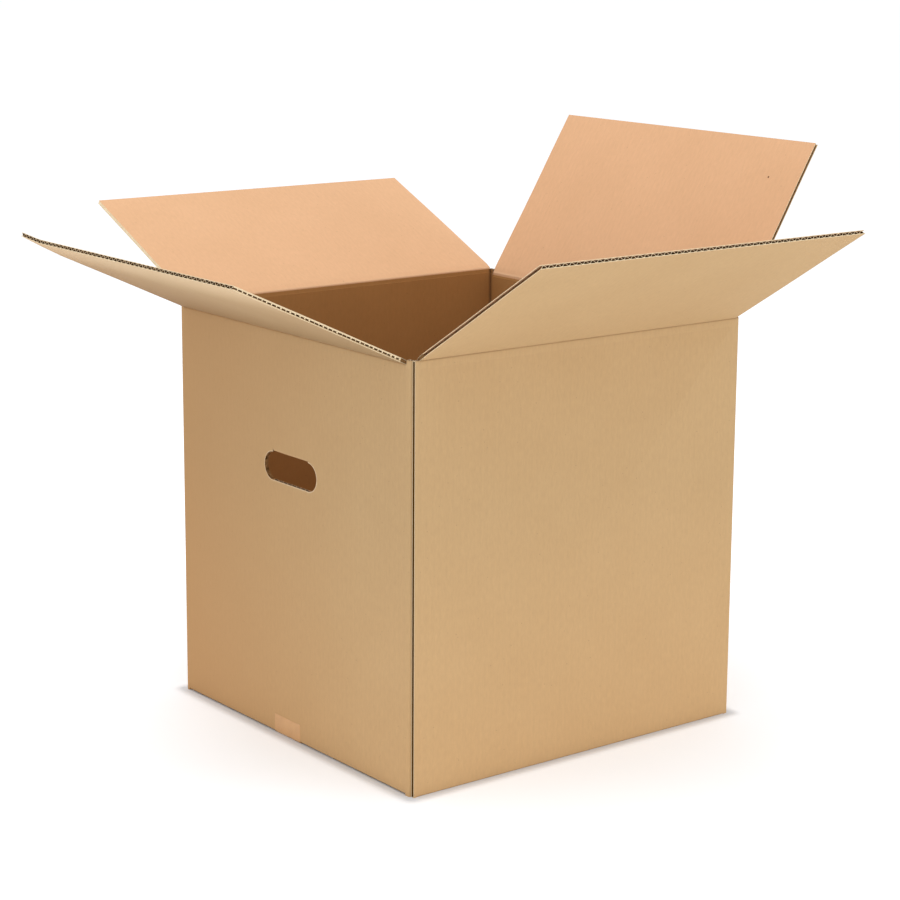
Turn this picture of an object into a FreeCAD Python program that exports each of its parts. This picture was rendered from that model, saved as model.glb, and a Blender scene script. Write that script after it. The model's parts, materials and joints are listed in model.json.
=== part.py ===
import FreeCAD, Part
import math
import os
import Sketcher

# Open cardboard box: a slotted carton of single-wall corrugated board, nearly a cube.
# Origin: the middle of the flat underside. X runs along the two wide walls, +Z is up.
# The wide walls (front at -Y, back at +Y) carry the outer flaps, the side walls (-X, +X)
# carry the inner flaps and the hand holes. The four top flaps stand open, tilted outward.

SIZES = {
    "box_length": (415.0, "outside, along X"),
    "box_width": (409.0, "outside, along Y"),
    "crease_height": (424.0, "floor to the top crease of the wide walls"),
    "board": (4.0, "thickness of the corrugated board"),
    "liner": (0.4, "thickness of each face paper"),
    "medium": (0.35, "thickness of the fluted paper"),
    "flute_pitch": (7.9, "from one flute to the next"),
    "flute_lean": (0.8, "sideways run of a flute's web for each millimetre of height"),
    "layer_gap": (0.3, "clearance between two layers of board that lie on each other"),
    "fold_radius": (2.5, "outside radius of the folds"),
    "bottom_radius": (1.5, "the same where the outer bottom flaps fold, pressed flatter"),
    "side_fold_height": (1.0, "floor to the bottom folds of the side walls"),
    "slot_inset": (6.5, "from a corner of the box to the side of a flap"),
    "joint_slot_inset": (11.2, "the same beside the glued corner, where the slot is wider"),
    "slot_clearance": (0.5, "from the side of a flap to the end of its crease"),
    "front_flap_shift": (0.8, "front flap's middle from the wall's middle, along X"),
    "back_flap_shift": (2.0, "the same for the back flap"),
    "right_flap_shift": (-1.5, "the same for the right flap, along Y"),
    "meeting_gap": (2.0, "left between two closed outer flaps"),
    "hinge_depth": (0.3, "the crease's turning line, inside the outer face"),
    "score_gap": (0.15, "half of the play between the two flanks of a score"),
    "score_relief": (10.0, "degrees that each outer flank of a score leans back"),
    "crush_length": (9.0, "flutes pressed shut beside a crease"),
    "tab_length": (35.0, "glue tab inside the front wall"),
    "tab_drop": (12.0, "tab's top below the front crease"),
    "tab_rise": (10.0, "tab's bottom above the floor"),
    "glue_start": (8.0, "from the cut edge to the glue line"),
    "hand_hole_length": (92.0, "along Y"),
    "hand_hole_height": (29.0, "along Z"),
    "hand_hole_centre": (281.0, "above the floor"),
    "push_in_width": (62.0, "straight top edge of a hand hole, where its piece folds in"),
    "push_in_length": (23.0, "the folded-in piece above its bend"),
    "tape_width": (46.0, "packing tape over the bottom seam"),
    "tape_thickness": (0.15, "film and glue"),
    "tape_offset": (8.5, "tape's middle from the seam, towards the back"),
    "tape_end_height": (20.0, "how far its two ends run up the side walls"),
    "tape_bend": (3.0, "outside radius of the tape at the side walls"),
    "front_tilt": (58.4, "degrees outward from upright"),
    "back_tilt": (65.6, "degrees outward from upright"),
    "left_tilt": (65.2, "degrees outward from upright"),
    "right_tilt": (32.3, "degrees outward from upright"),
    "overcut": (1.0, "how far a cutting shape runs past what it cuts"),
}

# Places that follow from the sizes, as expressions.
HALF_LENGTH = "Sizes.box_length / 2"
HALF_WIDTH = "Sizes.box_width / 2"
BOARD = "Sizes.board"
LAYER = "(Sizes.board + Sizes.layer_gap)"
OUTER_CREASE = "Sizes.crease_height"
INNER_CREASE = "(Sizes.crease_height - Sizes.board - Sizes.layer_gap)"
OUTER_REACH = "(Sizes.box_width / 2 - Sizes.hinge_depth - Sizes.meeting_gap / 2)"
INNER_REACH = "(Sizes.box_length / 2 - Sizes.hinge_depth - Sizes.meeting_gap / 2)"
PAST = "Sizes.overcut"

# The score's section: "in" runs inward from the turning line, "up" away from the floor.
OUTER_PLAY = "Sizes.score_gap / cos(Sizes.score_relief)"
INNER_PLAY = "Sizes.score_gap * sqrt(2)"
NOSE_UP = f"({OUTER_PLAY} + {INNER_PLAY}) / (1 + tan(Sizes.score_relief))"
NOSE_IN = f"({NOSE_UP} - {INNER_PLAY})"
FACE_IN = "(Sizes.board - Sizes.hinge_depth)"
FACE_UP = f"({FACE_IN} + {INNER_PLAY})"
RELIEF_UP = f"(({OUTER_PLAY} + Sizes.hinge_depth) / tan(Sizes.score_relief))"


def write_sizes(doc):
    sheet = doc.addObject("Spreadsheet::Sheet", "Sizes")
    for row, (name, (size, note)) in enumerate(SIZES.items(), start=1):
        sheet.set(f"A{row}", name.replace("_", " "))
        sheet.set(f"B{row}", str(size))
        sheet.setAlias(f"B{row}", name)
        sheet.set(f"C{row}", note)
    doc.recompute()
    return sheet


def worth(feature, expression):
    result = feature.Document.getObject("Sizes").evalExpression(expression)
    return float(getattr(result, "Value", result))


def new_body(doc, name):
    body = doc.addObject("PartDesign::Body", name)
    body.Label = name
    return body


def new_sketch(body, name, plane, offset):
    """A sketch on one of the body's own origin planes, moved along its normal."""
    sketch = body.newObject("Sketcher::SketchObject", name)
    support = [face for face in body.Origin.OriginFeatures if face.Role == plane][0]
    sketch.AttachmentSupport = [(support, "")]
    sketch.MapMode = "FlatFace"
    sketch.setExpression("AttachmentOffset.Base.z", offset)
    return sketch


def pin(sketch, edge, end, x, y):
    """Hold a point of an edge at two expressions, measured from the sketch's origin."""
    for kind, place in (("DistanceX", x), ("DistanceY", y)):
        if place is None:
            continue
        constraint = Sketcher.Constraint(kind, -1, 1, edge, end, worth(sketch, place))
        number = sketch.addConstraint(constraint)
        sketch.setExpression(f"Constraints[{number}]", place)


def arc_between(start, end, centre, turn):
    """An arc and the numbers of its start and end; it always runs anticlockwise."""
    radius = start.distanceToPoint(centre)
    angles = [math.atan2(spot.y - centre.y, spot.x - centre.x) for spot in (start, end)]
    circle = Part.Circle(centre, FreeCAD.Vector(0, 0, 1), radius)
    if turn == "left":
        return Part.ArcOfCircle(circle, angles[0], angles[1]), 1, 2
    return Part.ArcOfCircle(circle, angles[1], angles[0]), 2, 1


def draw_loop(sketch, corners):
    """A closed outline. A corner is (x, y), or (x, y, centre x, centre y, turn)
    where the edge that leaves it is an arc about that centre."""
    spots = [FreeCAD.Vector(worth(sketch, c[0]), worth(sketch, c[1]), 0) for c in corners]
    edges = []
    for number, corner in enumerate(corners):
        start = spots[number]
        end = spots[(number + 1) % len(spots)]
        first, last = 1, 2
        shape = Part.LineSegment(start, end)
        if len(corner) > 2:
            centre = FreeCAD.Vector(worth(sketch, corner[2]), worth(sketch, corner[3]), 0)
            shape, first, last = arc_between(start, end, centre, corner[4])
        edges.append((sketch.addGeometry(shape), first, last))
    for number, (edge, first, last) in enumerate(edges):
        following = edges[(number + 1) % len(edges)]
        joined = Sketcher.Constraint("Coincident", edge, last, following[0], following[1])
        sketch.addConstraint(joined)
        pin(sketch, edge, first, corners[number][0], corners[number][1])
        if len(corners[number]) > 2:
            level = abs(spots[number].y - spots[(number + 1) % len(spots)].y) < 0.001
            centre = (None, corners[number][3]) if level else (corners[number][2], None)
            pin(sketch, edge, 3, centre[0], centre[1])


def rectangle(left, right, low, high):
    return [(left, low), (right, low), (right, high), (left, high)]


def volume_of(body):
    return 0.0 if body.Shape.isNull() else body.Shape.Volume


def extrude(body, name, plane, loops, length, offset="0", kind="Pad", reach="One side", back=False):
    """A pad or pocket of closed outlines. A symmetric one is centred on its offset."""
    doc = body.Document
    before = volume_of(body)
    sketch = new_sketch(body, f"{name}_outline", plane, offset)
    for corners in loops:
        draw_loop(sketch, corners)
    feature = body.newObject(f"PartDesign::{kind}", name)
    feature.Profile = sketch
    feature.Type = "Length"
    feature.SideType = reach
    feature.Reversed = back
    feature.setExpression("Length", length)
    doc.recompute()
    change = body.Shape.Volume - before
    if (kind == "Pad") != (change > 0):
        raise RuntimeError(f"{name} changed the volume by {change:.1f}")
    return feature


def repeat(body, feature, name, axis, copies, extent):
    """Copies of a pocket in a row along one axis of its own sketch."""
    before = volume_of(body)
    pattern = body.newObject("PartDesign::LinearPattern", name)
    pattern.Originals = [feature]
    pattern.Direction = (feature.Profile[0], [axis])
    pattern.Mode = "Extent"
    pattern.setExpression("Length", extent)
    pattern.setExpression("Occurrences", copies)
    body.Tip = pattern
    body.Document.recompute()
    if body.Shape.Volume >= before:
        raise RuntimeError(f"{name} cut nothing")


# The four walls


def wall_outlines():
    """Seen from above: three rounded folds, and at the front left corner the side
    wall's tab, which turns in behind the square cut edge of the front wall."""
    right, back = HALF_LENGTH, HALF_WIDTH
    left, front = f"-{right}", f"-{back}"
    radius = "Sizes.fold_radius"
    front_inside = f"({front} + {BOARD})"
    tab_outside = f"({front_inside} + Sizes.layer_gap)"
    tab_inside = f"({tab_outside} + {BOARD})"
    left_turn = f"({left} + {radius})"
    right_turn = f"({right} - {radius})"
    back_turn = f"({back} - {radius})"
    glue_line = f"({left} + Sizes.glue_start)"
    outside = [
        (left, front),
        (right_turn, front, right_turn, f"{front} + {radius}", "left"),
        (right, f"{front} + {radius}"),
        (right, back_turn, right_turn, back_turn, "left"),
        (right_turn, back),
        (left_turn, back, left_turn, back_turn, "left"),
        (left, back_turn),
        (left, f"{tab_outside} + {radius}", left_turn, f"{tab_outside} + {radius}", "left"),
        (left_turn, tab_outside),
        (glue_line, tab_outside),
        (glue_line, front_inside),
        (left, front_inside),
    ]
    left_inside = f"({left} + {BOARD})"
    tab_end = f"({left_inside} + Sizes.tab_length)"
    inside = [
        (left_inside, tab_inside),
        (tab_end, tab_inside),
        (tab_end, front_inside),
        (f"{right} - {BOARD}", front_inside),
        (f"{right} - {BOARD}", f"{back} - {BOARD}"),
        (left_inside, f"{back} - {BOARD}"),
    ]
    return outside, inside


def side_span(side, clearance):
    """Where a side wall's crease starts and ends along Y, as its middle and length."""
    near = "Sizes.joint_slot_inset" if side == "left" else "Sizes.slot_inset"
    middle = f"(({near}) - Sizes.slot_inset) / 2" if side == "left" else "Sizes.right_flap_shift"
    length = f"(Sizes.box_width - {near} - Sizes.slot_inset + 2 * {clearance})"
    return middle, length


def top_score(turn, sign, crease, above):
    """What is cut from the top of a wall: both flanks of the score and all above."""
    inward = f"{turn} + {sign} *"
    wide = f"({RELIEF_UP} + {PAST} / tan(Sizes.score_relief))"
    return [
        (f"{inward} {NOSE_IN}", f"{crease} - {NOSE_UP}"),
        (f"{inward} ({FACE_IN} + {PAST})", f"{crease} - {FACE_UP} - {PAST}"),
        (f"{inward} ({FACE_IN} + {PAST})", f"{crease} + {above}"),
        (f"{inward} (-Sizes.hinge_depth - {PAST})", f"{crease} + {above}"),
        (f"{inward} (-Sizes.hinge_depth - {PAST})", f"{crease} - {wide}"),
    ]


def bottom_fold(face, sign, floor, depth, radius):
    """What is cut below a bottom fold: its rounding, and a side wall up to the fold."""
    inward = f"{face} + {sign} *"
    below = f"-{PAST}"
    turn = "right" if sign > 0 else "left"
    return [
        (f"{inward} (-{PAST})", below),
        (f"{inward} {depth}", below),
        (f"{inward} {depth}", floor),
        (f"{inward} {radius}", floor, f"{inward} {radius}", f"{floor} + {radius}", turn),
        (face, f"{floor} + {radius}"),
        (f"{inward} (-{PAST})", f"{floor} + {radius}"),
    ]


def make_walls(body):
    extrude(body, "walls", "XY_Plane", wall_outlines(), OUTER_CREASE)
    hinge = "Sizes.hinge_depth"
    wide_span = "(Sizes.box_length - 2 * Sizes.slot_inset + 2 * Sizes.slot_clearance)"
    walls = (("front", f"-{HALF_WIDTH}", 1), ("back", HALF_WIDTH, -1))
    for name, face, sign in walls:
        score = top_score(f"{face} + {sign} * {hinge}", sign, OUTER_CREASE, PAST)
        extrude(body, f"{name}_crease", "YZ_Plane", [score], wide_span,
                offset=f"Sizes.{name}_flap_shift", kind="Pocket", reach="Symmetric")
    radius = "Sizes.bottom_radius"
    folds = [bottom_fold(face, sign, "0", radius, radius) for _, face, sign in walls]
    rounded = [[corner for corner in fold if corner != fold[2]] for fold in folds]
    extrude(body, "outer_bottom_folds", "YZ_Plane", rounded, wide_span, kind="Pocket",
            reach="Symmetric")
    for side, face, sign in (("left", f"-{HALF_LENGTH}", 1), ("right", HALF_LENGTH, -1)):
        middle, length = side_span(side, "Sizes.slot_clearance")
        turn = f"{face} + {sign} * {hinge}"
        score = top_score(turn, sign, INNER_CREASE, f"({LAYER} + {PAST})")
        fold = bottom_fold(face, sign, "Sizes.side_fold_height", f"({BOARD} + {PAST})",
                           "Sizes.fold_radius")
        for name, loop in ((f"{side}_crease", score), (f"{side}_bottom_fold", fold)):
            extrude(body, name, "XZ_Plane", [loop], length, offset=f"-({middle})",
                    kind="Pocket", reach="Symmetric")


def trim_tab(body):
    """The glue tab stops short of the top crease and of the floor."""
    start = f"(-{HALF_LENGTH} + {BOARD})"
    end = f"({start} + Sizes.tab_length + {PAST})"
    inner = f"(-{HALF_WIDTH} + {BOARD})"
    outline = rectangle(start, end, inner, f"({inner} + {LAYER} + {PAST})")
    extrude(body, "tab_top", "XY_Plane", [outline], "Sizes.tab_drop",
            offset=OUTER_CREASE, kind="Pocket")
    extrude(body, "tab_bottom", "XY_Plane", [outline], "Sizes.tab_rise",
            kind="Pocket", back=True)


def cut_hand_holes(body):
    """One stadium through both side walls."""
    middle = "Sizes.hand_hole_centre"
    radius = "Sizes.hand_hole_height / 2"
    reach = "(Sizes.hand_hole_length - Sizes.hand_hole_height) / 2"
    outline = [
        (f"-{reach}", f"{middle} - {radius}"),
        (reach, f"{middle} - {radius}", reach, middle, "left"),
        (reach, f"{middle} + {radius}"),
        (f"-{reach}", f"{middle} + {radius}", f"-{reach}", middle, "left"),
    ]
    extrude(body, "hand_holes", "YZ_Plane", [outline], f"(Sizes.box_length + 2 * {PAST})",
            kind="Pocket", reach="Symmetric")


def fold_in_hand_holes(body):
    """Above each hand hole its piece is bent inward and up, flat against the wall."""
    middle = "Sizes.hand_hole_centre"
    bend = f"({BOARD} + Sizes.layer_gap / 2)"
    height = f"({middle} + Sizes.hand_hole_height / 2 + {bend})"
    half = "(Sizes.push_in_width / 2 + Sizes.layer_gap)"
    room = rectangle(f"-{half}", half, middle, height)
    extrude(body, "bend_room", "YZ_Plane", [room], f"(Sizes.box_length + 2 * {PAST})",
            kind="Pocket", reach="Symmetric")
    for side, face, sign in (("left", f"-{HALF_LENGTH}", 1), ("right", HALF_LENGTH, -1)):
        inward = f"{face} + {sign} *"
        axis = f"{inward} {bend}"
        around, back = ("left", "right") if sign > 0 else ("right", "left")
        root = f"({height} + Sizes.liner)"
        top = f"({height} + Sizes.push_in_length)"
        piece = [
            (face, root),
            (face, height, axis, height, around),
            (f"{inward} ({LAYER} + {BOARD})", height),
            (f"{inward} ({LAYER} + {BOARD})", top),
            (f"{inward} {LAYER}", top),
            (f"{inward} {LAYER}", height, axis, height, back),
            (f"{inward} {BOARD}", height),
            (f"{inward} {BOARD}", root),
        ]
        extrude(body, f"{side}_push_in", "XZ_Plane", [piece], "Sizes.push_in_width",
                reach="Symmetric")


def close_bottom(body):
    """The outer bottom flaps lie on the floor, the inner ones on top of them."""
    inset = "Sizes.slot_inset"
    seam = "Sizes.meeting_gap / 2"
    across = f"({HALF_LENGTH} - {inset})"
    start = f"({HALF_WIDTH} - Sizes.bottom_radius)"
    outer = [
        rectangle(f"-{across}", across, f"-{start}", f"-{seam}"),
        rectangle(f"-{across}", across, seam, start),
    ]
    extrude(body, "outer_bottom_flaps", "XY_Plane", outer, BOARD)
    begin = f"({HALF_LENGTH} - Sizes.fold_radius)"
    tip = seam
    back = f"({HALF_WIDTH} - {inset})"
    inner = [
        rectangle(f"-{begin}", f"-{tip}", f"-({HALF_WIDTH} - Sizes.joint_slot_inset)", back),
        rectangle(tip, begin, f"-{back}", back),
    ]
    extrude(body, "inner_bottom_flaps", "XY_Plane", inner, BOARD, offset=LAYER)


def tape_sides():
    low = "(Sizes.tape_offset - Sizes.tape_width / 2)"
    high = "(Sizes.tape_offset + Sizes.tape_width / 2)"
    return low, high


def make_carton(doc):
    body = new_body(doc, "carton_body")
    make_walls(body)
    trim_tab(body)
    cut_hand_holes(body)
    fold_in_hand_holes(body)
    close_bottom(body)
    low, high = tape_sides()
    bed = rectangle(f"-{HALF_LENGTH}", HALF_LENGTH, low, high)
    extrude(body, "tape_bed", "XY_Plane", [bed], "Sizes.tape_thickness", kind="Pocket", back=True)
    return body


def make_tape(doc):
    """A strip along the bottom seam with both ends turned up the side walls."""
    body = new_body(doc, "bottom_tape")
    film = "Sizes.tape_thickness"
    bend = "Sizes.tape_bend"
    top = "Sizes.tape_end_height"
    outer = f"({HALF_LENGTH} + {film})"
    turn = f"({outer} - {bend})"
    outline = [
        (f"-{outer}", top),
        (f"-{outer}", bend, f"-{turn}", bend, "left"),
        (f"-{turn}", "0"),
        (turn, "0", turn, bend, "left"),
        (outer, bend),
        (outer, top),
        (HALF_LENGTH, top),
        (HALF_LENGTH, bend, turn, bend, "right"),
        (turn, film),
        (f"-{turn}", film, f"-{turn}", bend, "right"),
        (f"-{HALF_LENGTH}", bend),
        (f"-{HALF_LENGTH}", top),
    ]
    extrude(body, "strip", "XZ_Plane", [outline], "Sizes.tape_width",
            offset="-Sizes.tape_offset", reach="Symmetric")
    return body


# The top flaps


def flap_section(sign, reach):
    """Thickness and length of a flap from its crease, with both flanks of the score."""
    return [
        (f"{sign} * {NOSE_IN}", NOSE_UP),
        (f"{sign} * {FACE_IN}", FACE_UP),
        (f"{sign} * {FACE_IN}", reach),
        (f"-{sign} * Sizes.hinge_depth", reach),
        (f"-{sign} * Sizes.hinge_depth", RELIEF_UP),
    ]


def channel(side, sign, centre, along):
    """The section of one air channel between the fluted paper and a liner, wide at
    the liner that it touches. side is "inner" or "outer"."""
    outer_liner = f"({sign} * (Sizes.liner - Sizes.hinge_depth))"
    inner_liner = f"({sign} * ({BOARD} - Sizes.liner - Sizes.hinge_depth))"
    rise = f"({BOARD} - 2 * Sizes.liner - Sizes.medium)"
    web = "Sizes.medium * sqrt(1 + Sizes.flute_lean ^ 2)"
    narrow = f"((Sizes.flute_pitch / 2 - {web} - Sizes.flute_lean * ({rise} - Sizes.medium)) / 2)"
    wide = f"({narrow} + Sizes.flute_lean * {rise})"
    base, tip = outer_liner, f"({outer_liner} + {sign} * {rise})"
    if side == "inner":
        base, tip = inner_liner, f"({inner_liner} - {sign} * {rise})"
    across = [(f"{centre} - {wide}", base), (f"{centre} + {wide}", base),
              (f"{centre} + {narrow}", tip), (f"{centre} - {narrow}", tip)]
    return across if along == "X" else [(deep, run) for run, deep in across]


def cut_flutes(body, sign, along, width, reach):
    """Flutes run from the crease to the outer edge, where their ends stay open.
    An inner channel is centred on each side edge, so the side cuts run through it."""
    depth = f"({reach} - Sizes.crush_length)"
    flutes = f"round({width} / Sizes.flute_pitch)"
    step = f"({width} / {flutes})"
    axis = "H_Axis" if along == "X" else "V_Axis"
    rows = (("inner", f"(-{width} / 2)", f"{flutes} + 1", width),
            ("outer", f"(-{width} / 2 + {step} / 2)", flutes, f"{width} - {step}"))
    for side, centre, copies, extent in rows:
        outline = channel(side, sign, centre, along)
        first = extrude(body, f"{side}_channel", "XY_Plane", [outline], depth,
                        offset=reach, kind="Pocket")
        repeat(body, first, f"{side}_channels", axis, copies, extent)


def make_flap(doc, name, along, sign, width, tilt, axis, place):
    """Made upright about its turning line at the origin, then tilted and set on its wall.
    sign is the direction of inward on the axis across the flap."""
    body = new_body(doc, name)
    plane, reach = ("YZ_Plane", OUTER_REACH) if along == "X" else ("XZ_Plane", INNER_REACH)
    extrude(body, "panel", plane, [flap_section(sign, reach)], width, reach="Symmetric")
    cut_flutes(body, sign, along, width, reach)
    body.Placement = FreeCAD.Placement(FreeCAD.Vector(), FreeCAD.Rotation(axis, 1.0))
    body.setExpression("Placement.Rotation.Angle", f"Sizes.{tilt}")
    for direction, expression in zip("xyz", place):
        body.setExpression(f"Placement.Base.{direction}", expression)
    doc.recompute()
    return body


def make_flaps(doc):
    hinge_y = f"({HALF_WIDTH} - Sizes.hinge_depth)"
    hinge_x = f"({HALF_LENGTH} - Sizes.hinge_depth)"
    wide = "(Sizes.box_length - 2 * Sizes.slot_inset)"
    left_middle, left_length = side_span("left", "0")
    right_middle, right_length = side_span("right", "0")
    x_axis, y_axis = FreeCAD.Vector(1, 0, 0), FreeCAD.Vector(0, 1, 0)
    return [
        make_flap(doc, "front_top_flap", "X", 1, wide, "front_tilt", x_axis,
                  ("Sizes.front_flap_shift", f"-{hinge_y}", OUTER_CREASE)),
        make_flap(doc, "back_top_flap", "X", -1, wide, "back_tilt", -x_axis,
                  ("Sizes.back_flap_shift", hinge_y, OUTER_CREASE)),
        make_flap(doc, "left_top_flap", "Y", 1, left_length, "left_tilt", -y_axis,
                  (f"-{hinge_x}", left_middle, INNER_CREASE)),
        make_flap(doc, "right_top_flap", "Y", -1, right_length, "right_tilt", y_axis,
                  (hinge_x, right_middle, INNER_CREASE)),
    ]


def check_and_write(doc, bodies):
    for feature in doc.Objects:
        if "Invalid" in feature.State or "Error" in feature.State:
            raise RuntimeError(f"{feature.Name} failed: {feature.State}")
    os.makedirs("parts", exist_ok=True)
    for body in bodies:
        shape = body.Shape
        if shape.isNull() or not shape.isValid() or len(shape.Solids) != 1:
            raise RuntimeError(f"{body.Label} is not one valid solid")
    for body in bodies:
        body.Shape.exportStep(f"parts/{body.Label}.step")
        box = body.Shape.BoundBox
        print(f"{body.Label}: {body.Shape.Volume / 1000:.1f} cm3, "
              f"{box.XLength:.1f} x {box.YLength:.1f} x {box.ZLength:.1f} mm")


def main():
    doc = FreeCAD.newDocument("open_cardboard_box")
    write_sizes(doc)
    bodies = [make_carton(doc), make_tape(doc)] + make_flaps(doc)
    doc.recompute()
    check_and_write(doc, bodies)


main()
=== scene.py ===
import json
import math
import random
from collections import namedtuple

import bmesh
import bpy
from mathutils import Matrix, Vector, noise


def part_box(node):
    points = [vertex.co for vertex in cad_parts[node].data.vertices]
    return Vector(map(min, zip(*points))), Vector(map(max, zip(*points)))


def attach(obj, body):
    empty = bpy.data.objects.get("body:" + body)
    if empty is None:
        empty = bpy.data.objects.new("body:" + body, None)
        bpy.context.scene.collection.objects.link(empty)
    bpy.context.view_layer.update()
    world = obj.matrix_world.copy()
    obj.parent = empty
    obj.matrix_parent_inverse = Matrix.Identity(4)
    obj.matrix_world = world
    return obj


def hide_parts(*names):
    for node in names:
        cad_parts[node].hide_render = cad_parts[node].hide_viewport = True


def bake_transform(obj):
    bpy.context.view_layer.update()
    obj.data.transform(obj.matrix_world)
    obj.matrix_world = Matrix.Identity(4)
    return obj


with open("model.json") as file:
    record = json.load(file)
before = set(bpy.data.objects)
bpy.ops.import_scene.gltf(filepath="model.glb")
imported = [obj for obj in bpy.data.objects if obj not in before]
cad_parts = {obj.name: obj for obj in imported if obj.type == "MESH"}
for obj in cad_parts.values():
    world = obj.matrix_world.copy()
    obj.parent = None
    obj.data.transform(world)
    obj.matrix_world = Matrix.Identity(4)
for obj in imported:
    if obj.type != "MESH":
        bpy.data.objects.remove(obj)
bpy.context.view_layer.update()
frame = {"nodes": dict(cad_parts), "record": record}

# Open cardboard box. The walls and the bottom flaps are dressed from the carton body. Each top
# flap is built anew as two liners with fluted paper between them, bent over its crease.
MM = 0.001
UP = Vector((0, 0, 1))

# Board and its fluted paper
BOARD_THICKNESS = 4.0 * MM
LINER = 0.55 * MM
FLUTE_PAPER = 0.45 * MM
FLUTE_PITCH = 7.9 * MM
FLUTE_CRUSH = 0.12
FLAT_TOPS = 1.35
HINGE_DEPTH = 0.3 * MM
PROUD = 0.02 * MM

# How finely the meshes are divided
POINTS_PER_FLUTE = 14
SHEET_ROWS = 5
SWEEP_COLUMNS = 48
TIP_STEPS = 8
RIDGE_STEPS = 6
SHARP_ANGLE = math.radians(38)

# Crease, measured from its turning line
WRAP_DOWN = 9.0 * MM
WRAP_RIM = 1.5 * MM
CRUSH_LENGTH = 8.0 * MM
RIDGE_RADIUS = 3.15 * MM
# Sections of the faces beside a crease, as (depth, distance from the crease): how far the
# inner face sinks below its plane, and where the outer face lies from the turning line.
SHOULDER = [(0.0, 6.5 * MM), (0.12 * MM, 4.3 * MM), (0.4 * MM, 2.0 * MM)]
DENT = [(-HINGE_DEPTH, 1.7 * MM), (-0.15 * MM, 0.8 * MM), (0.2 * MM, 0.2 * MM)]

# Bow of the flaps, and where a lifted corner starts as a share of the flap
BOW_HEIGHT = 1.2 * MM
BOW_DETAIL = 6.0
CORNER_START = 0.8

# Web along a side cut: its place, its paper, and the slit that is torn open in it
WEB_DEPTH = 0.1 * MM
WEB_PAPER = 0.6 * MM
SLIT_LOW = 0.28
SLIT_HIGH = 0.7
SHRED_SHARES = (0.05, 0.35)

# Open flute at the glued corner
SEAM_DEPTH = 6.0 * MM
SEAM_RIM = 0.8 * MM
SEAM_SETBACK = 2.2 * MM

# Marks on the paper, and painted shade and highlights: how far each one reaches and how strongly it shows
WARM_SHADE_REACH = 0.33
WARM_SHADE_SHARE = 0.75
LEFT_FLAP_RUN = 0.185
TIP_HIGHLIGHT_START = 0.6
FOOT_LIGHT_REACH = 0.27
SPECK_PLACE = (-0.156, 0.5855, 0.0)
SPECK_RADIUS = 1.1 * MM
CORNER_SHADE_REACH = 4.0 * MM
CORNER_SHADE_SHARE = 0.6
TORN_RIM_REACH = 1.8 * MM

# Clean-up of the carton's faces
CUT_EDGE_PLAY = 0.4 * MM
MERGE_DISTANCE = 0.002 * MM
FLAT_ANGLE = math.radians(0.5)

# Hand holes
HAND_HOLE_LENGTH = 92.0 * MM
HAND_HOLE_HEIGHT = 29.0 * MM
HAND_HOLE_CENTRE = 281.0 * MM

# Light and camera
FLOOR_RADIUS = 30.0
FLOOR_GLOW = 0.37
SHADOW_REACH = 0.018
SKY_STRENGTH = 0.75
Softbox = namedtuple("Softbox", "name place aim diameter power")
SOFTBOXES = [
    Softbox("top softbox", (-0.3, 0.1, 2.6), (0, 0, 0.4), 2.0, 28.0),
    Softbox("right softbox", (1.9, -3.0, 0.35), (0, 0, 0.1), 1.2, 23.6),
    Softbox("left softbox", (-3.0, -1.8, 0.35), (0, 0, 0.1), 1.2, 10.6),
]
CAMERA_ANGLES = (-38.586, 11.834, 0.59775)
CAMERA_PLACE = (-1.4993, -1.9442, 0.8379)
CAMERA_LENS = 96.18
CAMERA_SHIFT = -0.05
SENSOR_WIDTH = 36.0

# Colours of the paper faces, each with its darker clouds and what its folds take: wear with painted shade
# on the outer face and the walls' inside, a painted highlight on the inner liner
OUTER_KRAFT = (0.530, 0.352, 0.177, 1)
OUTER_KRAFT_DARK = (0.490, 0.318, 0.155, 1)
OUTER_FOLD_WEAR_AND_SHADE = (0.30, 0.175, 0.075, 1)
INNER_KRAFT = (0.72, 0.43, 0.245, 1)
INNER_KRAFT_DARK = (0.66, 0.39, 0.215, 1)
INNER_FOLD_HIGHLIGHT = (0.86, 0.58, 0.36, 1)
# The walls' inside: the inner liner's paper made darker, painted shade for the box's inside
SHADED_INSIDE_KRAFT = (0.45, 0.230, 0.078, 1)
SHADED_INSIDE_KRAFT_DARK = (0.39, 0.19, 0.062, 1)
SHADED_INSIDE_FOLD = (0.36, 0.19, 0.08, 1)

# Colours of marks and cuts, and of painted shade in corners, gaps and hollows
PAINTED_WARM_SHADE = (0.425, 0.235, 0.098, 1)
TORN_RIM = (0.70, 0.55, 0.36, 1)
SPECK_BROWN = (0.13, 0.06, 0.025, 1)
PAINTED_CORNER_SHADE = (0.09, 0.045, 0.018, 1)
FLUTE_PAINTED_SHADE = (0.07, 0.030, 0.008, 1)
FLUTE_SHADED_BROWN = (0.36, 0.20, 0.085, 1)
EDGE_GAP_PAINTED_SHADE = (0.055, 0.03, 0.014, 1)
EDGE_BROWN = (0.30, 0.19, 0.10, 1)
EDGE_PALE = (0.62, 0.44, 0.27, 1)
CUT_BROWN = (0.58, 0.42, 0.24, 1)
CUT_PALE = (0.95, 0.80, 0.55, 1)
DEEP_PAINTED_SHADE = (0.10, 0.045, 0.006, 1)
DEEP_SHADED_BROWN = (0.19, 0.09, 0.02, 1)
TAPE_BROWN = (0.54, 0.27, 0.088, 1)
TAPE_PALE = (0.68, 0.37, 0.145, 1)
FLOOR_WHITE = (0.85, 0.88, 0.93, 1)

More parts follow.
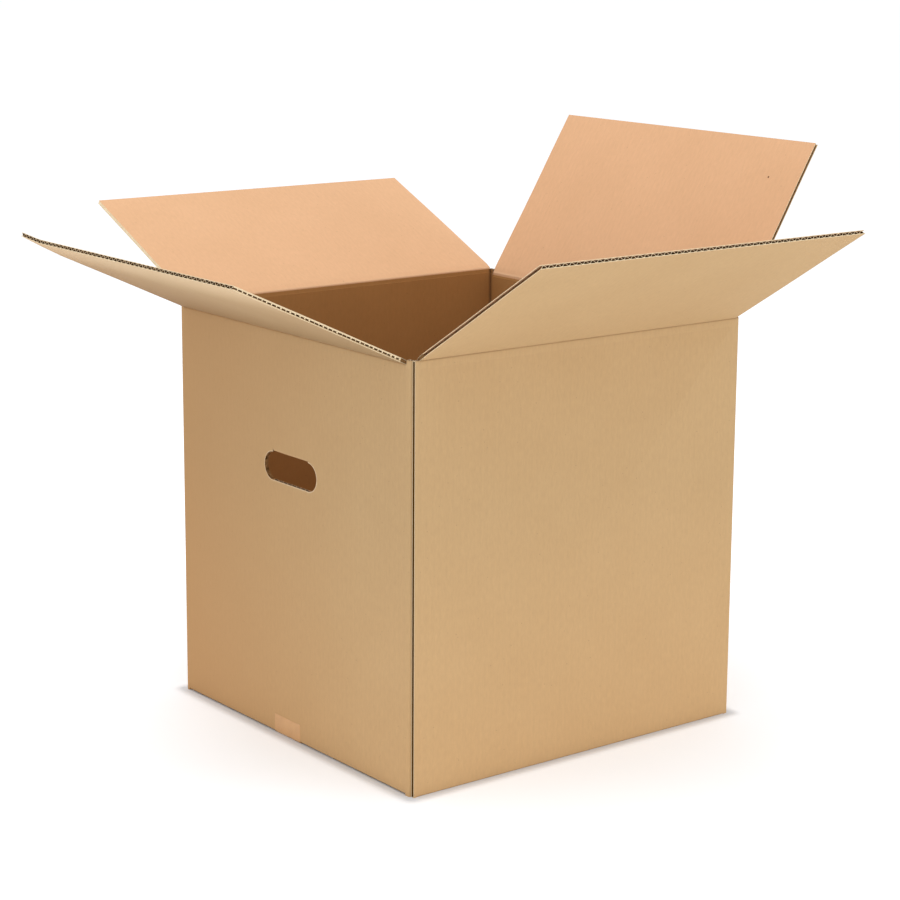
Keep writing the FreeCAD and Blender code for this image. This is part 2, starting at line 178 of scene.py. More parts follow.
# Tints that multiply the outer face's colour: painted shade at the left flap's crease, painted highlights
# at its tip, painted light low on the walls
WHITE = (1, 1, 1, 1)
PAINTED_CREASE_SHADE_TINT = (0.67, 0.66, 0.64, 1)
PAINTED_FLAP_LIGHT_TINT = (1.0, 1.03, 1.12, 1)
PAINTED_TIP_HIGHLIGHT_TINT = (1.22, 1.34, 1.6, 1)
PAINTED_FOOT_LIGHT_TINT = (1.14, 1.09, 1.06, 1)

# Paper's surface
PAPER_ROUGHNESS = 0.86
PAPER_GLOSS = 0.22
GRAIN_SPREAD = (0.90, 1.10)
WASHBOARD_SHADE_SHARE = 0.022
SPECK_SHARE = 0.35
SPECK_DARKNESS = 0.45
FOLD_SHARE = 0.6
FOLD_REACH = 1.6 * MM
FIBRE_RELIEF = 0.35
# Wave drawn on cut edges, as shares of the board's thickness
WAVE_HEIGHT = 0.38
WAVE_PAPER = 0.14

CREASE_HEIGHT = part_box("carton_body")[1].z
HALF_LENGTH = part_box("carton_body")[1].x
HALF_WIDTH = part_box("carton_body")[1].y

# inward points from the crease to the box's middle. lift raises the flap's far corner. closed
# is the side whose cut runs along a web of the fluted paper: -1 or 1, or 0 for neither. shreds
# is how many pieces of a torn web are left there.
Flap = namedtuple("Flap", "name inward tilt width reach seed lift closed shreds")
FLAPS = [
    Flap("front", Vector((0, 1, 0)), math.radians(58.4), 402.0 * MM, 203.2 * MM, 3, 0.0, 0, 0),
    Flap("back", Vector((0, -1, 0)), math.radians(65.6), 402.0 * MM, 203.2 * MM, 11, 0.0, -1, 0),
    Flap("left", Vector((1, 0, 0)), math.radians(65.2), 391.3 * MM, 206.2 * MM, 23, 3.0 * MM, -1, 36),
    Flap("right", Vector((-1, 0, 0)), math.radians(32.3), 396.0 * MM, 206.2 * MM, 31, 0.0, 0, 0),
]


# Shader building blocks


def add(tree, kind, **settings):
    """A shader or geometry node, with its settings, or its inputs where the name is one."""
    node = tree.nodes.new(kind)
    for name, value in settings.items():
        if hasattr(node, name):
            setattr(node, name, value)
        else:
            node.inputs[name.replace("_", " ")].default_value = value
    return node


def join(tree, *pairs):
    """Links for pairs of an output and an input."""
    for start, end in pairs:
        tree.links.new(start, end)


def new_group(name, kind, inputs, outputs):
    """A node group with named sockets; inputs are (name, type, value)."""
    tree = bpy.data.node_groups.new(name, kind)
    for label, socket, value in inputs:
        made = tree.interface.new_socket(label, in_out="INPUT", socket_type=socket)
        if value is not None:
            made.default_value = value
    for label, socket in outputs:
        tree.interface.new_socket(label, in_out="OUTPUT", socket_type=socket)
    return tree, tree.nodes.new("NodeGroupInput"), tree.nodes.new("NodeGroupOutput")


def math_node(tree, operation, first, second=None, clamp=False):
    """A Math node whose operands are sockets or numbers; gives its output."""
    node = tree.nodes.new("ShaderNodeMath")
    node.operation = operation
    node.use_clamp = clamp
    for socket, value in zip(node.inputs, (first, second)):
        if isinstance(value, bpy.types.NodeSocket):
            tree.links.new(value, socket)
        elif value is not None:
            socket.default_value = value
    return node.outputs[0]


def kraft_fibre_group():
    """Mottling of recycled kraft paper: soft clouds, short fibres and dark specks."""
    tree, start, end = new_group(
        "kraft fibre", "ShaderNodeTree",
        [("Vector", "NodeSocketVector", None), ("Cloud Scale", "NodeSocketFloat", 14.0),
         ("Fibre Scale", "NodeSocketFloat", 420.0)],
        [("Clouds", "NodeSocketFloat"), ("Fibres", "NodeSocketFloat"), ("Specks", "NodeSocketFloat")])
    clouds = add(tree, "ShaderNodeTexNoise", Detail=5.0, Roughness=0.6)
    stretch = add(tree, "ShaderNodeMapping", vector_type="POINT")
    stretch.inputs["Scale"].default_value = (1.0, 0.28, 1.0)
    fibres = add(tree, "ShaderNodeTexNoise", Detail=4.0, Roughness=0.65)
    specks = add(tree, "ShaderNodeTexVoronoi", feature="F1", Scale=95.0, Randomness=1.0)
    join(tree, (start.outputs["Vector"], clouds.inputs["Vector"]),
         (start.outputs["Cloud Scale"], clouds.inputs["Scale"]),
         (start.outputs["Vector"], stretch.inputs["Vector"]),
         (stretch.outputs[0], fibres.inputs["Vector"]),
         (start.outputs["Fibre Scale"], fibres.inputs["Scale"]),
         (start.outputs["Vector"], specks.inputs["Vector"]))
    near = math_node(tree, "LESS_THAN", specks.outputs["Distance"], 0.055)
    join(tree, (clouds.outputs["Fac"], end.inputs["Clouds"]),
         (fibres.outputs["Fac"], end.inputs["Fibres"]), (near, end.inputs["Specks"]))
    return tree


def washboard_group():
    """The flutes that show faintly through a liner, as a wave across the board."""
    tree, start, end = new_group(
        "washboard", "ShaderNodeTree",
        [("Vector", "NodeSocketVector", None), ("Pitch", "NodeSocketFloat", FLUTE_PITCH),
         ("Unevenness", "NodeSocketFloat", 0.5)],
        [("Height", "NodeSocketFloat")])
    axes = add(tree, "ShaderNodeSeparateXYZ")
    drift = add(tree, "ShaderNodeTexNoise", Scale=9.0, Detail=2.0)
    join(tree, (start.outputs["Vector"], axes.inputs[0]), (start.outputs["Vector"], drift.inputs["Vector"]))
    turns = math_node(tree, "DIVIDE", axes.outputs["X"], start.outputs["Pitch"])
    wave = math_node(tree, "SINE", math_node(tree, "MULTIPLY", turns, 2 * math.pi))
    amount = math_node(tree, "MULTIPLY", start.outputs["Unevenness"], drift.outputs["Fac"])
    height = math_node(tree, "MULTIPLY", wave, amount)
    join(tree, (height, end.inputs["Height"]))
    return tree


def crease_group():
    """A mask that is 1 on a fold at one height of the board and fades on both sides."""
    tree, start, end = new_group(
        "fold wear", "ShaderNodeTree",
        [("Vector", "NodeSocketVector", None), ("Fold Height", "NodeSocketFloat", CREASE_HEIGHT),
         ("Reach", "NodeSocketFloat", 5.0 * MM)],
        [("Mask", "NodeSocketFloat")])
    axes = add(tree, "ShaderNodeSeparateXYZ")
    rough = add(tree, "ShaderNodeTexNoise", Scale=60.0, Detail=3.0)
    join(tree, (start.outputs["Vector"], axes.inputs[0]), (start.outputs["Vector"], rough.inputs["Vector"]))
    away = math_node(tree, "ABSOLUTE", math_node(tree, "SUBTRACT", axes.outputs["Y"],
                                                 start.outputs["Fold Height"]))
    fade = math_node(tree, "SUBTRACT", 1.0, math_node(tree, "DIVIDE", away, start.outputs["Reach"]),
                     clamp=True)
    uneven = math_node(tree, "MULTIPLY_ADD", rough.outputs["Fac"], 0.8)
    uneven.node.inputs[2].default_value = 0.5
    join(tree, (math_node(tree, "MULTIPLY", fade, uneven), end.inputs["Mask"]))
    return tree


GROUPS = {"fibre": kraft_fibre_group(), "washboard": washboard_group(), "crease": crease_group()}


def place_group(tree, name, vector, **values):
    """One of the shared groups in a material's tree, with its vector and its input values."""
    node = tree.nodes.new("ShaderNodeGroup")
    node.node_tree = GROUPS[name]
    tree.links.new(vector, node.inputs["Vector"])
    for label, value in values.items():
        node.inputs[label.replace("_", " ")].default_value = value
    return node


def mix_colour(tree, amount, first, second, mode="MIX"):
    """A Mix node for colours, whose operands are sockets or values; gives its output."""
    node = add(tree, "ShaderNodeMix", data_type="RGBA", blend_type=mode)
    sockets = [node.inputs[0], node.inputs[6], node.inputs[7]]
    for socket, value in zip(sockets, (amount, first, second)):
        if isinstance(value, bpy.types.NodeSocket):
            tree.links.new(value, socket)
        else:
            socket.default_value = value
    return node.outputs[2]


def ranged(tree, value, low, high, start=0.0, end=1.0, ease="LINEAR"):
    """A value that goes from start to end, spread over low to high."""
    node = add(tree, "ShaderNodeMapRange", interpolation_type=ease)
    limits = (("From Min", start), ("From Max", end), ("To Min", low), ("To Max", high))
    for name, limit in limits:
        node.inputs[name].default_value = limit
    tree.links.new(value, node.inputs["Value"])
    return node.outputs[0]


def body_axes(tree):
    """Where a spot lies on the body itself, in metres along X, Y and Z."""
    place = add(tree, "ShaderNodeTexCoord")
    axes = add(tree, "ShaderNodeSeparateXYZ")
    tree.links.new(place.outputs["Object"], axes.inputs[0])
    return axes.outputs


def new_material(name, gloss=PAPER_GLOSS):
    """A paper material; gives also its tree, its shader and its place on the board's map."""
    material = bpy.data.materials.new(name)
    material.use_nodes = True
    tree = material.node_tree
    surface = tree.nodes["Principled BSDF"]
    surface.inputs["Roughness"].default_value = PAPER_ROUGHNESS
    surface.inputs["Specular IOR Level"].default_value = gloss
    coordinates = add(tree, "ShaderNodeUVMap", uv_map="board")
    return material, tree, surface, coordinates.outputs[0]


def painted_corner_shade(tree):
    """Painted shade: 1 along the upright inner corners of the walls, where the board is darkened."""
    axes = body_axes(tree)
    sides = []
    for axis, half in (("X", HALF_LENGTH), ("Y", HALF_WIDTH)):
        wall = half - BOARD_THICKNESS
        away = math_node(tree, "ABSOLUTE", axes[axis])
        sides.append(ranged(tree, away, 0.0, 1.0, wall - CORNER_SHADE_REACH, wall, "SMOOTHSTEP"))
    return math_node(tree, "MULTIPLY", sides[0], sides[1])


def hand_hole_rim(tree):
    """1 on the torn rim of the hand holes: close to their outline, on the side walls."""
    axes = body_axes(tree)
    place = add(tree, "ShaderNodeTexCoord")
    ragged = add(tree, "ShaderNodeTexNoise", Scale=900.0, Detail=1.0)
    tree.links.new(place.outputs["Object"], ragged.inputs["Vector"])
    radius = HAND_HOLE_HEIGHT / 2
    straight = HAND_HOLE_LENGTH / 2 - radius
    across = math_node(tree, "SUBTRACT", math_node(tree, "ABSOLUTE", axes["Y"]), straight)
    across = math_node(tree, "MAXIMUM", across, 0.0)
    up = math_node(tree, "SUBTRACT", axes["Z"], HAND_HOLE_CENTRE)
    squares = [math_node(tree, "MULTIPLY", side, side) for side in (across, up)]
    away = math_node(tree, "SQRT", math_node(tree, "ADD", squares[0], squares[1]))
    reach = math_node(tree, "MULTIPLY_ADD", ragged.outputs["Fac"], TORN_RIM_REACH)
    reach.node.inputs[2].default_value = radius
    near = math_node(tree, "LESS_THAN", away, reach)
    from_middle = math_node(tree, "ABSOLUTE", axes["X"])
    on_side = math_node(tree, "GREATER_THAN", from_middle, HALF_LENGTH - 0.5 * MM)
    return math_node(tree, "MULTIPLY", near, on_side)


def painted_warm_shade(tree):
    """Painted shade: warmer and darker around the back left fold, on both of its walls."""
    axes = body_axes(tree)
    from_back = math_node(tree, "ABSOLUTE", math_node(tree, "SUBTRACT", axes["Y"], HALF_WIDTH))
    from_left = math_node(tree, "ABSOLUTE", math_node(tree, "ADD", axes["X"], HALF_LENGTH))
    away = math_node(tree, "ADD", from_back, from_left)
    return ranged(tree, away, WARM_SHADE_SHARE, 0.0, 0.0, WARM_SHADE_REACH)


def left_flap_painted_shade_and_highlight(tree):
    """Painted shade on the left flap's outside, darkest at its crease, and a painted highlight that makes
    it paler and greyer towards its tip.
    """
    leftward = math_node(tree, "MULTIPLY", body_axes(tree)["X"], -1.0)
    past = math_node(tree, "SUBTRACT", leftward, HALF_LENGTH)
    along = ranged(tree, past, 0.0, 1.0, 0.0, LEFT_FLAP_RUN)
    shade = mix_colour(tree, along, PAINTED_CREASE_SHADE_TINT, PAINTED_FLAP_LIGHT_TINT)
    tip_start = LEFT_FLAP_RUN * TIP_HIGHLIGHT_START
    at_tip = ranged(tree, past, 0.0, 1.0, tip_start, LEFT_FLAP_RUN, "SMOOTHSTEP")
    shade = mix_colour(tree, at_tip, shade, PAINTED_TIP_HIGHLIGHT_TINT)
    return mix_colour(tree, math_node(tree, "GREATER_THAN", past, MM), WHITE, shade)


def painted_foot_light(tree):
    """Painted light: the walls are a little paler and pinker low down."""
    height = ranged(tree, body_axes(tree)["Z"], 0.0, 1.0, 0.0, FOOT_LIGHT_REACH)
    return mix_colour(tree, height, PAINTED_FOOT_LIGHT_TINT, WHITE)


def speck_mask(tree, place):
    """One dark speck on the right flap's inside."""
    reach = add(tree, "ShaderNodeVectorMath", operation="DISTANCE")
    reach.inputs[1].default_value = SPECK_PLACE
    tree.links.new(place, reach.inputs[0])
    near = math_node(tree, "LESS_THAN", reach.outputs["Value"], SPECK_RADIUS)
    on_right = math_node(tree, "GREATER_THAN", body_axes(tree)["X"], HALF_LENGTH)
    return math_node(tree, "MULTIPLY", near, on_right)


def liner_material(name, paper, dark_paper, fold, corners=False, marks=False, speck=False):
    """One face of the board. fold is the colour laid on its creases: wear with painted shade on the outer
    face and the walls' inside, a painted highlight on the inner liner.
    """
    material, tree, surface, place = new_material(name)
    fibre = place_group(tree, "fibre", place)
    flutes = place_group(tree, "washboard", place)
    clouds = ranged(tree, fibre.outputs["Clouds"], 0.0, 1.0)
    colour = mix_colour(tree, clouds, dark_paper, paper)
    grain = ranged(tree, fibre.outputs["Fibres"], *GRAIN_SPREAD)
    colour = mix_colour(tree, 1.0, colour, grain, "MULTIPLY")
    # Painted shade of the washboard ripple: the colour darkens and lightens along the flutes' wave
    washboard_shade = math_node(tree, "MULTIPLY_ADD", flutes.outputs["Height"], WASHBOARD_SHADE_SHARE)
    washboard_shade.node.inputs[2].default_value = 1.0
    colour = mix_colour(tree, 1.0, colour, washboard_shade, "MULTIPLY")
    specks = math_node(tree, "MULTIPLY", fibre.outputs["Specks"], SPECK_SHARE)
    speck_colour = tuple(SPECK_DARKNESS * part for part in dark_paper[:3]) + (1.0,)
    colour = mix_colour(tree, specks, colour, speck_colour)
    crease = place_group(tree, "crease", place, Reach=FOLD_REACH)
    # On the creases: wear with painted shade, or on the inner liner a painted highlight
    wear = math_node(tree, "MULTIPLY", crease.outputs["Mask"], FOLD_SHARE)
    colour = mix_colour(tree, wear, colour, fold)
    if marks:
        colour = mix_colour(tree, hand_hole_rim(tree), colour, TORN_RIM)
        # Painted warm shade towards the back left fold
        colour = mix_colour(tree, painted_warm_shade(tree), colour, PAINTED_WARM_SHADE)
        # Painted shade and highlight on the left flap's outside
        colour = mix_colour(tree, 1.0, colour, left_flap_painted_shade_and_highlight(tree), "MULTIPLY")
        # Painted light low on the walls
        colour = mix_colour(tree, 1.0, colour, painted_foot_light(tree), "MULTIPLY")
    if speck:
        colour = mix_colour(tree, speck_mask(tree, place), colour, SPECK_BROWN)
    # Painted shade along the walls' inner corners
    if corners:
        shade = math_node(tree, "MULTIPLY", painted_corner_shade(tree), CORNER_SHADE_SHARE)
        colour = mix_colour(tree, shade, colour, PAINTED_CORNER_SHADE)
    relief = math_node(tree, "MULTIPLY_ADD", fibre.outputs["Fibres"], FIBRE_RELIEF)
    tree.links.new(flutes.outputs["Height"], relief.node.inputs[2])
    bump = add(tree, "ShaderNodeBump", Strength=0.16, Distance=0.25 * MM)
    join(tree, (relief, bump.inputs["Height"]), (bump.outputs[0], surface.inputs["Normal"]),
         (colour, surface.inputs["Base Color"]))
    return material


def torn_paper_material(name, cloud_scale, dark, pale, gloss=PAPER_GLOSS, spread=(0.0, 1.0)):
    """Paper at a cut or deep in a flute, blotched between two colours. A wide spread makes
    the blotches crisper."""
    material, tree, surface, place = new_material(name, gloss)
    fibre = place_group(tree, "fibre", place, Cloud_Scale=cloud_scale)
    blotches = ranged(tree, fibre.outputs["Clouds"], *spread)
    blotches = math_node(tree, "ADD", blotches, 0.0, clamp=True)
    colour = mix_colour(tree, blotches, dark, pale)
    tree.links.new(colour, surface.inputs["Base Color"])
    return material


def raw_edge_material():
    """Cut edges of the carton's board: pale liners, a wave of fluted paper and painted shade in the gaps.
    The second coordinate of the map runs across the board's thickness."""
    material, tree, surface, place = new_material("raw board edge")
    axes = add(tree, "ShaderNodeSeparateXYZ")
    tree.links.new(place, axes.inputs[0])
    turns = math_node(tree, "DIVIDE", axes.outputs["X"], FLUTE_PITCH)
    wave = math_node(tree, "SINE", math_node(tree, "MULTIPLY", turns, 2 * math.pi))
    depth = math_node(tree, "DIVIDE", axes.outputs["Y"], BOARD_THICKNESS)
    middle = math_node(tree, "MULTIPLY_ADD", wave, WAVE_HEIGHT)
    middle.node.inputs[2].default_value = 0.5
    off_wave = math_node(tree, "ABSOLUTE", math_node(tree, "SUBTRACT", depth, middle))
    paper = math_node(tree, "LESS_THAN", off_wave, WAVE_PAPER)
    off_middle = math_node(tree, "ABSOLUTE", math_node(tree, "SUBTRACT", depth, 0.5))
    liner = math_node(tree, "GREATER_THAN", off_middle, WAVE_HEIGHT)
    solid = math_node(tree, "MAXIMUM", paper, liner)
    fibre = place_group(tree, "fibre", place, Cloud_Scale=160.0)
    cut = mix_colour(tree, fibre.outputs["Clouds"], EDGE_BROWN, EDGE_PALE)
    # Painted shade in the gaps between the liners and the fluted paper
    colour = mix_colour(tree, solid, EDGE_GAP_PAINTED_SHADE, cut)
    bump = add(tree, "ShaderNodeBump", Strength=0.6, Distance=0.6 * MM)
    join(tree, (solid, bump.inputs["Height"]), (bump.outputs[0], surface.inputs["Normal"]),
         (colour, surface.inputs["Base Color"]))
    return material


def tape_material():
    """Tan packing tape with a satin shine, blotched where the glue holds unevenly."""
    material = bpy.data.materials.new("packing tape")
    material.use_nodes = True
    tree = material.node_tree
    surface = tree.nodes["Principled BSDF"]
    surface.inputs["Roughness"].default_value = 0.32
    surface.inputs["Coat Weight"].default_value = 0.3
    surface.inputs["Coat Roughness"].default_value = 0.2
    place = add(tree, "ShaderNodeTexCoord")
    blotches = add(tree, "ShaderNodeTexNoise", Scale=90.0, Detail=4.0)
    wrinkles = add(tree, "ShaderNodeTexNoise", Scale=35.0, Detail=2.0)
    join(tree, (place.outputs["Object"], blotches.inputs["Vector"]),
         (place.outputs["Object"], wrinkles.inputs["Vector"]))
    colour = mix_colour(tree, blotches.outputs["Fac"], TAPE_BROWN, TAPE_PALE)
    bump = add(tree, "ShaderNodeBump", Strength=0.25, Distance=0.4 * MM)
    join(tree, (colour, surface.inputs["Base Color"]), (wrinkles.outputs["Fac"], bump.inputs["Height"]),
         (bump.outputs[0], surface.inputs["Normal"]))
    return material


OUTER_LINER = liner_material("outer liner", OUTER_KRAFT, OUTER_KRAFT_DARK, OUTER_FOLD_WEAR_AND_SHADE, marks=True)
INNER_LINER = liner_material("inner liner", INNER_KRAFT, INNER_KRAFT_DARK, INNER_FOLD_HIGHLIGHT, speck=True)
# A darker copy of the inner liner: painted shade on the walls' inside
SHADED_INSIDE_LINER = liner_material("inside of the walls", SHADED_INSIDE_KRAFT, SHADED_INSIDE_KRAFT_DARK, SHADED_INSIDE_FOLD,
                              corners=True)
CUT_LINER = torn_paper_material("cut liner", 220.0, CUT_BROWN, CUT_PALE)
# Near-black paper deep in the open seam: painted shade
SHADED_DEEP_FLUTE = torn_paper_material("deep flute", 90.0, DEEP_PAINTED_SHADE, DEEP_SHADED_BROWN, gloss=0.0)
# Fluted paper darker than its kraft, blotched near-black: painted shade in its hollows
SHADED_FLUTED = torn_paper_material("fluted paper", 260.0, FLUTE_PAINTED_SHADE, FLUTE_SHADED_BROWN, gloss=0.0,
                             spread=(-1.1, 1.9))
RAW_EDGE = raw_edge_material()
TAPE = tape_material()
BOARD_MATERIALS = [OUTER_LINER, INNER_LINER, SHADED_INSIDE_LINER, CUT_LINER, SHADED_FLUTED, RAW_EDGE, SHADED_DEEP_FLUTE]
OUTER, INNER, SHADED_INSIDE, CUT, SHADED_FLUTE, EDGE, SHADED_DEEP = range(len(BOARD_MATERIALS))


# Meshes


def new_object(name, mesh):
    made = bpy.data.objects.new(name, mesh)
    bpy.context.scene.collection.objects.link(made)
    return made


def finished(mesh, name):
    """An object in the scene from an edit mesh, with the board's materials."""
    made = bpy.data.meshes.new(name)
    mesh.to_mesh(made)
    mesh.free()
    for material in BOARD_MATERIALS:
        made.materials.append(material)
    made.uv_layers[0].name = "board"
    made.shade_smooth()
    made.set_sharp_from_angle(angle=SHARP_ANGLE)
    return new_object(name, made)


def flute_tree():
    """A sheet of fluted paper: waves across X, flutes along Y, with a paper's thickness."""
    tree, start, end = new_group(
        "fluted paper sheet", "GeometryNodeTree",
        [("Width", "NodeSocketFloat", 0.4), ("Depth", "NodeSocketFloat", 0.2),
         ("Flutes", "NodeSocketInt", 50), ("Height", "NodeSocketFloat", 0.003),
         ("Paper", "NodeSocketFloat", FLUTE_PAPER), ("Crush", "NodeSocketFloat", FLUTE_CRUSH),
         ("Seed", "NodeSocketFloat", 1.0), ("Material", "NodeSocketMaterial", None)],
        [("Geometry", "NodeSocketGeometry")])
    columns = math_node(tree, "MULTIPLY_ADD", start.outputs["Flutes"], POINTS_PER_FLUTE)
    columns.node.inputs[2].default_value = 1.0
    grid = add(tree, "GeometryNodeMeshGrid")
    grid.inputs["Vertices Y"].default_value = SHEET_ROWS
    position = tree.nodes.new("GeometryNodeInputPosition")
    axes = add(tree, "ShaderNodeSeparateXYZ")
    join(tree, (start.outputs["Width"], grid.inputs["Size X"]),
         (start.outputs["Depth"], grid.inputs["Size Y"]), (columns, grid.inputs["Vertices X"]),
         (position.outputs[0], axes.inputs[0]))
    pitch = math_node(tree, "DIVIDE", start.outputs["Width"], start.outputs["Flutes"])
    turns = math_node(tree, "DIVIDE", axes.outputs["X"], pitch)
    wave = math_node(tree, "COSINE", math_node(tree, "MULTIPLY", turns, 2 * math.pi))
    steep = math_node(tree, "MULTIPLY", wave, FLAT_TOPS)
    flat_topped = math_node(tree, "MINIMUM", math_node(tree, "MAXIMUM", steep, -1.0), 1.0)
    wobble = tree.nodes.new("ShaderNodeTexNoise")
    wobble.noise_dimensions = "4D"
    wobble.inputs["Scale"].default_value = 70.0
    join(tree, (position.outputs[0], wobble.inputs["Vector"]), (start.outputs["Seed"], wobble.inputs["W"]))
    squeeze = math_node(tree, "MULTIPLY", wobble.outputs["Fac"], start.outputs["Crush"])
    keep = math_node(tree, "SUBTRACT", 1.0, squeeze)
    half = math_node(tree, "MULTIPLY", start.outputs["Height"], 0.5)
    lift = math_node(tree, "MULTIPLY", math_node(tree, "MULTIPLY", flat_topped, keep), half)
    offset = tree.nodes.new("ShaderNodeCombineXYZ")
    waved = tree.nodes.new("GeometryNodeSetPosition")
    thick = tree.nodes.new("GeometryNodeExtrudeMesh")
    thick.inputs["Individual"].default_value = False
    under = tree.nodes.new("GeometryNodeFlipFaces")
    both = tree.nodes.new("GeometryNodeJoinGeometry")
    merged = tree.nodes.new("GeometryNodeMergeByDistance")
    merged.inputs["Distance"].default_value = 0.01 * MM
    real = tree.nodes.new("GeometryNodeRealizeInstances")
    painted = tree.nodes.new("GeometryNodeSetMaterial")
    join(tree, (lift, offset.inputs["Z"]), (grid.outputs["Mesh"], waved.inputs["Geometry"]),
         (offset.outputs[0], waved.inputs["Offset"]), (waved.outputs[0], thick.inputs["Mesh"]),
         (start.outputs["Paper"], thick.inputs["Offset Scale"]),
         (waved.outputs[0], under.inputs["Mesh"]), (thick.outputs["Mesh"], both.inputs[0]),
         (under.outputs[0], both.inputs[0]), (both.outputs[0], merged.inputs[0]),
         (merged.outputs[0], real.inputs[0]), (real.outputs[0], painted.inputs["Geometry"]),
         (start.outputs["Material"], painted.inputs["Material"]),
         (painted.outputs[0], end.inputs["Geometry"]))
    return tree


FLUTE_TREE = flute_tree()


def grown_mesh(tree, values):
    """The plain mesh that a geometry tree makes with these input values."""
    holder = new_object("grower", bpy.data.meshes.new("grower"))
    modifier = holder.modifiers.new("grow", "NODES")
    modifier.node_group = tree
    for socket in tree.interface.items_tree:
        if socket.in_out == "INPUT" and socket.name in values:
            modifier[socket.identifier] = values[socket.name]
    graph = bpy.context.evaluated_depsgraph_get()
    mesh = bpy.data.meshes.new_from_object(holder.evaluated_get(graph))
    bpy.data.objects.remove(holder)
    return mesh


def turning_line(flap):
    """A point on the flap's turning line, as the joint in the frame has it."""
    joints = frame["record"]["behaviour"]["joints"]
    crease = [joint for joint in joints if joint["name"] == f"{flap.name}_crease"][0]
    return Vector(crease["pos_m"])


def along_crease(flap):
    """The direction of the flap's crease."""
    return Vector((1, 0, 0)) if abs(flap.inward.y) > 0.5 else Vector((0, 1, 0))


def on_flap(flap, depth, run):
    """A spot of the flap's own section as (inward, up) from the turning line."""
    lean, rise = math.sin(flap.tilt), math.cos(flap.tilt)
    return (depth * rise - run * lean, depth * lean + run * rise)


def skin_paths(flap):
    """Sections of the outer and the inner liner's outside, from the wall over the crease
    to the flap's tip. Each point is (inward, up, distance along the board)."""
    face = BOARD_THICKNESS - HINGE_DEPTH
    length = flap.reach - CRUSH_LENGTH
    steps = [CRUSH_LENGTH + length * part / TIP_STEPS for part in range(TIP_STEPS + 1)]
    shoulder = [(face - drop, run) for drop, run in SHOULDER]
    inner = [(face - PROUD, -WRAP_DOWN, -WRAP_DOWN)]
    inner += [(depth + PROUD, -run, -run) for depth, run in shoulder]
    for step in range(RIDGE_STEPS + 1):
        turn = flap.tilt * step / RIDGE_STEPS
        inner.append((RIDGE_RADIUS * math.cos(turn), RIDGE_RADIUS * math.sin(turn),
                      RIDGE_RADIUS * (turn - flap.tilt / 2)))
    inner += [on_flap(flap, depth, run) + (run,) for depth, run in reversed(shoulder)]
    inner += [on_flap(flap, face, run) + (run,) for run in steps]
    rim = WRAP_RIM - WRAP_DOWN
    outer = [(-HINGE_DEPTH + PROUD, -WRAP_DOWN, -WRAP_DOWN), (-HINGE_DEPTH - PROUD, rim, rim)]
    outer += [(depth - PROUD, -run, -run) for depth, run in DENT]
    outer += [on_flap(flap, depth, run) + (run,) for depth, run in reversed(DENT)]
    outer += [on_flap(flap, -HINGE_DEPTH, run) + (run,) for run in steps]
    return outer, inner


def offset_path(path, distance):
    """The same section moved sideways by a distance, to the left of its run."""
    moved = []
    for number, (inward, up, run) in enumerate(path):
        before = path[max(number - 1, 0)]
        after = path[min(number + 1, len(path) - 1)]
        way = Vector((after[0] - before[0], after[1] - before[1])).normalized()
        moved.append((inward - way.y * distance, up + way.x * distance, run))
    return moved


def sweep(mesh, flap, section, material):
    """A closed bar of one section (inward, up, distance along the board), swept along
    the crease, with a flat face at each end."""
    line, along = turning_line(flap), along_crease(flap)
    maps = mesh.loops.layers.uv.verify()
    middle = line.dot(along)
    places = [flap.width * (column / SWEEP_COLUMNS - 0.5) for column in range(SWEEP_COLUMNS + 1)]
    rows = [[mesh.verts.new(line + along * across + flap.inward * inward + UP * up)
             for inward, up, _ in section] for across in places]
    made = []
    for column in range(SWEEP_COLUMNS):
        for spot in range(len(section)):
            after = (spot + 1) % len(section)
            face = mesh.faces.new([rows[column][spot], rows[column][after],
                                   rows[column + 1][after], rows[column + 1][spot]])
            corners = [(column, spot), (column, after), (column + 1, after), (column + 1, spot)]
            for loop, (number, corner) in zip(face.loops, corners):
                loop[maps].uv = (middle + places[number], CREASE_HEIGHT + section[corner][2])
            on_wall = max(section[spot][2], section[after][2]) < -RIDGE_RADIUS / 2
            at_tip = min(section[spot][2], section[after][2]) > flap.reach - 0.01 * MM
            face.material_index = material
            # Inner liner wrapped down onto the wall takes the painted shade of the walls' inside
            if on_wall and material == INNER:
                face.material_index = SHADED_INSIDE
            if at_tip:
                face.material_index = CUT
            made.append(face)
    for row in (rows[0], rows[-1]):
        made.append(mesh.faces.new(row))
        made[-1].material_index = SHADED_FLUTE if material == SHADED_FLUTE else CUT
    bmesh.ops.recalc_face_normals(mesh, faces=made)


